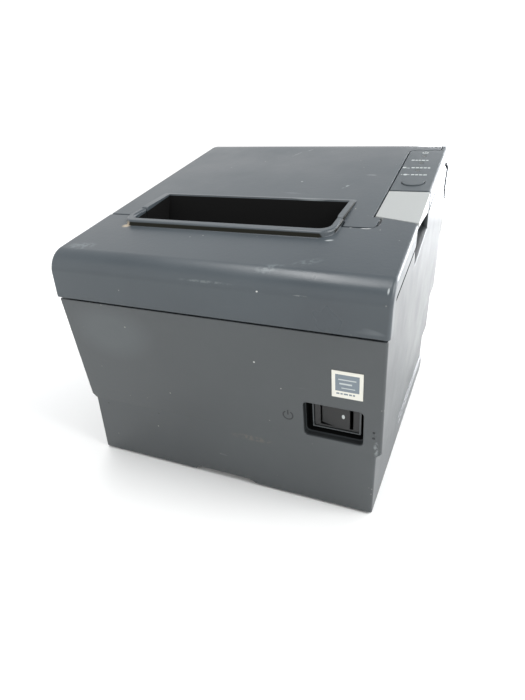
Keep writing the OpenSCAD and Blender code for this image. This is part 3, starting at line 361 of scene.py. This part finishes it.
caseWear = [                                      # rows as in the cover's wear and painted highlights
    ((-48.0, -93.0, 70.0), (24.0, 8.0, 17.0), 0, "#6b7376", 0.2, False),
    ((20.2, -91.3, 67.4), (0.5, 0.5, 0.5), 0, "#c6c8c4", 0.9, False),
    ((-62.6, -82.0, 28.5), (0.8, 1.5, 0.5), 0, "#26282a", 0.9, False),
    ((-33.2, -82.0, 28.9), (0.7, 1.5, 0.5), 0, "#26282a", 0.9, False),
    ((-66.0, -86.0, 31.5), (5.0, 2.5, 1.0), 0, "#9ba2a3", 0.5, True),
    ((15.0, -84.0, 26.5), (14.0, 3.0, 2.0), 0, "#8a7d68", 0.25, True),
    ((69.5, -84.0, 35.0), (1.2, 2.0, 6.0), 0, "#9ba2a3", 0.5, True),
]


def frontIn(depth):                               # distance into the case, in a frame leaning with its front
    return frontFoot["y"] * math.cos(frontLean) + frontFoot["z"] * math.sin(frontLean) + depth


def frontUp(z):                                   # height up the front, in the same frame
    return z * math.cos(frontLean) - frontY(z) * math.sin(frontLean)


def seamFrame(y, z, lean):                        # a point of the side seam, in a frame turned to follow it
    return y * math.cos(lean) + z * math.sin(lean), z * math.cos(lean) - y * math.sin(lean)


# the switch recess, and the tones of the painted shade on its walls and moat
recess = {"left": 35.0, "right": 66.6, "bottom": 33.6, "top": 52.5, "wall": "#2b2d2e", "moat": "#161717"}
caseShade = [                                     # rows as in coverShade
    ((60.0, -46.0, 101.0), (71.2, 0.0, 126.0), 1.2, "#232628", 0.85, 0.0),  # painted shade in the finger recess by the lever
    ((recess["left"], frontIn(0.5), frontUp(recess["bottom"])),  # painted shade on the walls of the switch recess
     (recess["right"], frontIn(2.9), frontUp(recess["top"])), 0.5, recess["wall"], 0.8, frontLean),
    ((recess["left"], frontIn(3.3), frontUp(recess["bottom"])),  # painted shade in the moat round the switch
     (recess["right"], frontIn(15), frontUp(recess["top"])), 0.3, recess["moat"], 1.0, frontLean),
]
seam = {                                          # painted shadow: dark band along the case's top edge, under the flanges
    "knee": (-46.6, topZ(-46.6) - 9.9), "rear": (56.0, topZ(56.0) - 9.5), "front": (-90.4, 98.1),
    "side": 73.0, "below": 2.6, "above": 0.4, "fade": 0.12, "dark": "#17191a",
}
for start, end in ((seam["knee"], seam["rear"]), (seam["front"], seam["knee"])):
    lean = math.atan2(end[1] - start[1], end[0] - start[0])
    alongStart, edge = seamFrame(*start, lean)
    alongEnd = seamFrame(*end, lean)[0]
    caseShade.append(((-seam["side"], alongStart, edge - seam["below"]),
                      (seam["side"], alongEnd, edge + seam["above"]), seam["fade"], seam["dark"], 1.0, lean))
charcoalAbs = mouldedAbs("charcoalAbs", "#414547", "#8f9699", "#505557", 0.37, wearAndHighlights=caseWear, shade=caseShade)
coverAbs = mouldedAbs("coverAbs", "#42494e", "#9aa1a4", "#535b60", 0.33, wearAndHighlights=coverWearAndHighlights, shade=coverShade)
finish = {
    "case_plastic": charcoalAbs,  # dark grey, low sheen
    "cover_plastic": coverAbs,  # bluer, shinier by handling
    "panel_plastic": mouldedAbs("panelAbs", "#4b5256", "#8d9497", "#555c60", 0.45, scratches=0.4),  # duller
    "lever_plastic": mouldedAbs("paleAbs", "#a7aaa9", "#d0d2d0", "#a3a6a4", 0.4, scratches=0.5),  # pale grey
    "inner_plastic": plainMoulding("blackAbs", "#1b1c1d", "#262829", 0.5),          # dull black
    "black_plastic": plainMoulding("blackNylon", "#101112", "#191a1b", 0.36),       # deeper black, some shine
    "gear_plastic": plainMoulding("whiteAcetal", "#dedcd2", "#cfcdc2", 0.34, ior=1.48),  # waxy white
    "label_stock": plainMoulding("labelFilm", "#e4e2d8", "#d7d6cc", 0.4, grain=0.03),  # smooth cream
    "lens_plastic": plainMoulding("smokedAcrylic", "#2b302c", "#363c36", 0.18, grain=0.0, ior=1.49),  # gloss
    "foot_rubber": plainMoulding("mouldedRubber", "#1c1c1c", "#242424", 0.75, grain=0.2),  # matt black
    "platen_rubber": plainMoulding("groundSiliconeRubber", "#161617", "#202021", 0.62, grain=0.15),  # matt
    "sheet_steel": workedMetal("zincPlatedSheet", "#9da1a3", "#b4b8b9", 0.36),      # pale, cloudy shine
    "bright_steel": workedMetal("groundSteel", "#b9bbbd", "#cccdce", 0.26),         # clear shine
    "motor_case": workedMetal("drawnMotorCan", "#6d7072", "#7e8183", 0.4, (900.0, 40.0, 900.0)),  # dull grey
    "pinion_brass": workedMetal("turnedBrass", "#c79a4a", "#b68a3e", 0.3),          # warm yellow
    "heat_sink_metal": workedMetal("extrudedAluminium", "#a8acaf", "#bcc0c2", 0.34),  # soft white
    "head_ceramic": plainMoulding("glazedAlumina", "#d6cfbb", "#cbc3ad", 0.16, grain=0.02, ior=1.7),  # cream
    "board_green": plainMoulding("solderMask", "#1d5a34", "#184d2c", 0.3, grain=0.03),  # glossy green
    "ribbon_film": plainMoulding("flexFilm", "#d8d8d3", "#cccbc5", 0.35, grain=0.03),  # smooth white
}
whiteInk = plainMoulding("whiteInk", "#c2c8c7", "#b3b9b8", 0.5, grain=0.02)
darkInk = plainMoulding("darkInk", "#1d2022", "#26292b", 0.5, grain=0.02)
labelBlue = plainMoulding("blueGreyInk", "#6f7a83", "#7a858d", 0.45, grain=0.02)
print("materials made:", len(bpy.data.materials))


# shells: the CAD solids with their edges rounded as moulded and bent edges are

def roundEdges(mesh, radius, steps, chosen):
    sharp = []
    for edge in mesh.edges:
        if len(edge.link_faces) != 2 or edge.calc_face_angle(0) < math.radians(26):
            continue
        middle = (edge.verts[0].co + edge.verts[1].co) / 2 / mm
        if chosen(middle, edge) and roomFor(edge, radius):
            sharp.append(edge)
    bmesh.ops.bevel(mesh, geom=sharp, offset=radius * mm, offset_type="OFFSET", segments=steps, profile=0.5,
                    affect="EDGES", clamp_overlap=False, loop_slide=True)
    return len(sharp)


def roomFor(edge, radius):                        # no bevel where a neighbouring edge is too short for it
    along = (edge.verts[1].co - edge.verts[0].co).normalized()
    for face in edge.link_faces:
        for end in edge.verts:
            for other in end.link_edges:
                if other is edge or other not in face.edges:
                    continue
                way = other.verts[1].co - other.verts[0].co
                across = way.length * math.sin(along.angle(way, 0)) if way.length > 1e-9 else 0
                if across < 1.15 * radius * mm and abs(along.dot(way.normalized())) < 0.8:
                    return False
    return True


def everyEdge(middle, edge):                      # middle is the edge's own, in mm
    return True


def cleanMesh(mesh, name):                        # a new mesh with nothing but the shape
    bmesh.ops.remove_doubles(mesh, verts=mesh.verts, dist=1e-6)
    bmesh.ops.recalc_face_normals(mesh, faces=mesh.faces)
    mesh.verts.index_update()
    data = bpy.data.meshes.new(name)
    data.from_pydata([v.co[:] for v in mesh.verts], [], [[v.index for v in f.verts] for f in mesh.faces])
    mesh.free()
    return data


def showPiece(data, name, body, material, sharpAt=50, stands=()):
    # edges over sharpAt degrees stay sharp
    data.materials.append(material)
    data.shade_smooth()
    data.set_sharp_from_angle(angle=math.radians(sharpAt))
    piece = bpy.data.objects.new(name, data)
    bpy.context.scene.collection.objects.link(piece)
    weighted = piece.modifiers.new("flatFaces", "WEIGHTED_NORMAL")
    weighted.keep_sharp = True
    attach(piece, body)
    if stands:
        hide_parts(*stands)


def softShell(source, name, rounds):              # a CAD solid with rounded edges, standing in for its node
    mesh = bmesh.new()
    mesh.from_mesh(cad[source].data)
    bmesh.ops.remove_doubles(mesh, verts=mesh.verts, dist=1e-6)
    bmesh.ops.dissolve_limit(mesh, angle_limit=math.radians(0.3), verts=mesh.verts, edges=mesh.edges)
    counts = [roundEdges(mesh, radius, steps, chosen) for radius, steps, chosen in rounds]
    print("rounded", name, counts)
    slotName = slotOf[source]
    showPiece(cleanMesh(mesh, name), name, bodyOf[source], finish[slotName], stands=(source,))


def insideEdge(middle, edge):                     # every edge but those on the outer side faces
    return abs(middle.x) < 71


def sideOfCrown(middle, edge):                    # outer edges where the top meets the two sides
    return abs(middle.x) > 72.4 and middle.z > topZ(middle.y) - 6 - 22 * (middle.y < -84) and middle.z > 88


def lipEdge(middle, edge):                        # upper edges of the slot's lip
    return -67 < middle.y < -30 and middle.z > topZ(middle.y) + 0.4 and -58 < middle.x < 43


def frontPost(middle, edge):                      # upright outer corners of the case
    return abs(middle.x) > 69 and middle.y < -79 and abs(edge.verts[0].co.z - edge.verts[1].co.z) > 12 * mm


shells = (                                        # CAD node, piece, then radius in mm, steps and edges
    ("roll_cover", "rollCover", ((1.8, 4, sideOfCrown), (0.9, 3, lipEdge), (0.35, 2, everyEdge))),
    ("front_cover", "noseCover", ((1.5, 4, sideOfCrown), (0.9, 3, lipEdge), (0.35, 2, everyEdge))),
    ("housing", "caseShell", ((0.9, 3, frontPost), (0.35, 2, everyEdge))),
    ("base_tray", "baseTray", ((1.8, 4, frontPost), (0.3, 2, everyEdge))),
    ("cover_lever", "releaseLever", ((1.2, 3, sideOfCrown), (0.25, 2, insideEdge))),
    ("control_panel", "controlPanel", ((1.5, 4, sideOfCrown), (0.25, 2, everyEdge))),
    ("feed_button", "feedButton", ((0.4, 3, everyEdge),)),
    ("switch_body", "switchBody", ((0.3, 2, everyEdge),)),
    ("power_rocker", "powerRocker", ((0.35, 3, everyEdge),)),
    ("label_plate", "labelPlate", ((0.06, 1, everyEdge),)),
    ("feet", "footPads", ((0.6, 2, everyEdge),)),
    ("case_screws", "caseScrews", ((0.15, 2, everyEdge),)),
    ("interface_plate", "interfacePlate", ((0.3, 2, everyEdge),)),
    ("power_inlet", "powerInlet", ((0.1, 1, everyEdge),)),
    ("drawer_jack", "drawerJack", ((0.35, 2, everyEdge),)),
    ("usb_port", "usbPort", ((0.3, 2, everyEdge),)),
    ("serial_port", "serialPort", ((0.4, 2, everyEdge),)),
    ("led_lenses", "ledLenses", ((0.15, 2, everyEdge),)),
)
for source, name, rounds in shells:
    softShell(source, name, rounds)
for name, thing in cad.items():
    thing.data.materials.clear()
    thing.data.materials.append(finish[slotOf[name]])
print("shells made")


# thin printed and moulded marks, each a closed prism laid on its surface

def onFront(x, z):                                # frame on the front: across, up, out
    def at(u, v, w):
        height = z + v * math.cos(frontLean)
        return Vector((x + u, frontY(height) - w * math.cos(frontLean), height - w * math.sin(frontLean)))
    return at


def onTop(x, y):                                  # frame on the sloping top
    def at(u, v, w):
        depth = y + v * math.cos(topSlope)
        return Vector((x + u, depth - w * math.sin(topSlope), topZ(depth) + w * math.cos(topSlope)))
    return at


def box(u0, v0, u1, v1):
    return [(u0, v0), (u1, v0), (u1, v1), (u0, v1)]


def onOval(u, v, ru, rv, angle):
    return u + ru * math.cos(angle), v + rv * math.sin(angle)


ringSteps = 20


def oval(u, v, ru, rv):
    return [onOval(u, v, ru, rv, 2 * math.pi * i / ringSteps) for i in range(ringSteps)]


def standbySign(sign):                            # a ring open at its top, with a stem in the gap
    gap, outer, inner = sign["gap"], sign["radius"], sign["radius"] - sign["line"]
    turns = [math.radians(90 + gap / 2 + (360 - gap) * i / ringSteps) for i in range(ringSteps + 1)]
    ring = [onOval(0, 0, outer, outer, a) for a in turns]
    ring += [onOval(0, 0, inner, inner, a) for a in reversed(turns)]
    return [ring, box(-sign["line"] / 2, sign["stem"][0], sign["line"] / 2, sign["stem"][1])]


def dashes(u, v, height, widths, gap):            # a row of plain blocks
    row = []
    for width in widths:
        row.append(box(u, v - height / 2, u + width, v + height / 2))
        u += width + gap
    return row


def layMarks(name, outlines, at, layer, material, body):
    # closed prisms from the ink's low to its high side, which layer gives in mm
    mesh = bmesh.new()
    for outline in outlines:
        rings = [[mesh.verts.new(at(u, v, w) * mm) for u, v in outline] for w in layer]
        mesh.faces.new(rings[0][::-1])
        mesh.faces.new(rings[1])
        for i in range(len(outline)):
            j = (i + 1) % len(outline)
            mesh.faces.new((rings[0][i], rings[0][j], rings[1][j], rings[1][i]))
    bmesh.ops.recalc_face_normals(mesh, faces=mesh.faces)
    showPiece(cleanMesh(mesh, name), name, body, material, sharpAt=30)


panelPrint = {"layer": (-0.04, 0.03), "height": 1.35, "gap": 0.45}
panelRows = {                                     # mm: middle up the top, start across, block widths, icon
    "fault": (30.0, 57.2, (1.5, 1.1, 1.1, 1.7, 1.2), []),
    "paper": (18.2, 59.0, (1.6, 1.5, 1.4, 1.5, 1.2),
              [oval(55.6, 0.1, 0.95, 0.95), box(56.7, -0.9, 58.2, -0.3)]),
    "feed": (8.0, 60.4, (1.5, 1.4, 1.5, 1.6),
             [oval(57.7, 0, 1.05, 1.05), box(55.5, -0.3, 56.3, 0.3), box(59.0, -0.3, 59.6, 0.3)]),
}
for rowName, (y, start, widths, icon) in panelRows.items():
    blocks = dashes(start, 0, panelPrint["height"], widths, panelPrint["gap"])
    layMarks(rowName + "Marks", blocks + icon, onTop(0, y), panelPrint["layer"], whiteInk, "body")

standby = {"x": 62.4, "y": 42.6, "radius": 1.6, "line": 0.5, "gap": 70, "stem": (0.3, 2.0)}
layMarks("standbyMark", standbySign(standby), onTop(standby["x"], standby["y"]), panelPrint["layer"],
         whiteInk, "body")

power = {
    "x": 33.0, "z": 43.7, "radius": 2.4, "line": 0.6, "gap": 60, "stem": (0.3, 2.8), "layer": (-0.05, 0.02),
}
layMarks("powerSymbol", standbySign(power), onFront(power["x"], power["z"]), power["layer"],
         darkInk, "body")

label = {                                         # square label on the front, in mm from its middle
    "x": 57.8, "z": 63.8, "field": (-4.6, -3.0, 4.6, 4.7), "fieldLayer": (0.2, 0.28),
    "bars": ((-3.4, 2.2, 3.4, 2.7), (-3.0, 0.2, 1.8, 0.9), (-2.2, -1.6, 3.0, -1.2)), "barLayer": (0.26, 0.31),
    "foot": (-4.2, -4.2), "footHeight": 0.7, "footWidths": (1.2, 0.9, 1.6, 1.1, 0.8), "footGap": 0.4,
}
labelAt = onFront(label["x"], label["z"])
labelFoot = dashes(*label["foot"], label["footHeight"], label["footWidths"], label["footGap"])
layMarks("labelField", [box(*label["field"])], labelAt, label["fieldLayer"], labelBlue, "body")
layMarks("labelBars", [box(*bar) for bar in label["bars"]], labelAt, label["barLayer"], whiteInk, "body")
layMarks("labelFoot", labelFoot, labelAt, label["fieldLayer"], labelBlue, "body")

rocker = {
    "x": 51.9, "z": 43.5, "tilt": math.radians(10),
    "aside": 0.7, "up": 1.75, "depth": 5.6,       # of its pivot, from the middle of the switch
    "out": 2.6, "dish": 0.3 / 6.2,                # face in front of the pivot, and its fall to the ends
    "oval": (3.5, 0.9, 0.62, 1.05), "layer": (-0.06, 0.03),
}


def onRocker(u, v, w):                            # frame of the rocker's tilted face
    tilt = rocker["tilt"]
    out = w + rocker["out"] - abs(u) * rocker["dish"]
    flat = onFront(rocker["x"], rocker["z"])
    return flat(rocker["aside"] + u * math.cos(tilt) - out * math.sin(tilt), rocker["up"] + v,
                -rocker["depth"] + u * math.sin(tilt) + out * math.cos(tilt))


layMarks("onMark", [oval(*rocker["oval"])], onRocker, rocker["layer"], whiteInk, "rocker")

ratings = {                                       # ratings label on the underside, in mm
    "z": 0.5, "field": (-24, -26, 24, 8), "fieldLayer": (-0.1, 0.12), "barLayer": (0.1, 0.15),
    "bars": 4, "left": -21, "right": 21, "top": 4, "pitch": 4, "shorter": 6, "block": (6, -23, 21, -16),
}


def underneath(u, v, w):                          # frame looking up at the base
    return Vector((u, -v, ratings["z"] - w))


ratingBars = [box(*ratings["block"])]
for i in range(ratings["bars"]):
    high = ratings["top"] - ratings["pitch"] * i
    ratingBars.append(box(ratings["left"], high - 1, ratings["right"] - ratings["shorter"] * (i % 3), high))
layMarks("baseLabel", [box(*ratings["field"])], underneath, ratings["fieldLayer"], finish["label_stock"],
         "body")
layMarks("baseLabelBars", ratingBars, underneath, ratings["barLayer"], darkInk, "body")
print("marks made")


def makeFloor():
    # white table of a light tent: one matt sheet
    half = studio["tableHalf"]
    data = bpy.data.meshes.new("paperSweep")
    data.from_pydata([(x, y, 0) for x, y in box(-half, -half, half, half)], [], [(0, 1, 2, 3)])
    material, tree, shader = blankMaterial("seamlessPaper", studio["table"], 0.95)
    shader.inputs["Specular IOR Level"].default_value = 0.1
    data.materials.append(material)
    floor = bpy.data.objects.new("paperSweep", data)
    bpy.context.scene.collection.objects.link(floor)


makeFloor()
print("floor made")
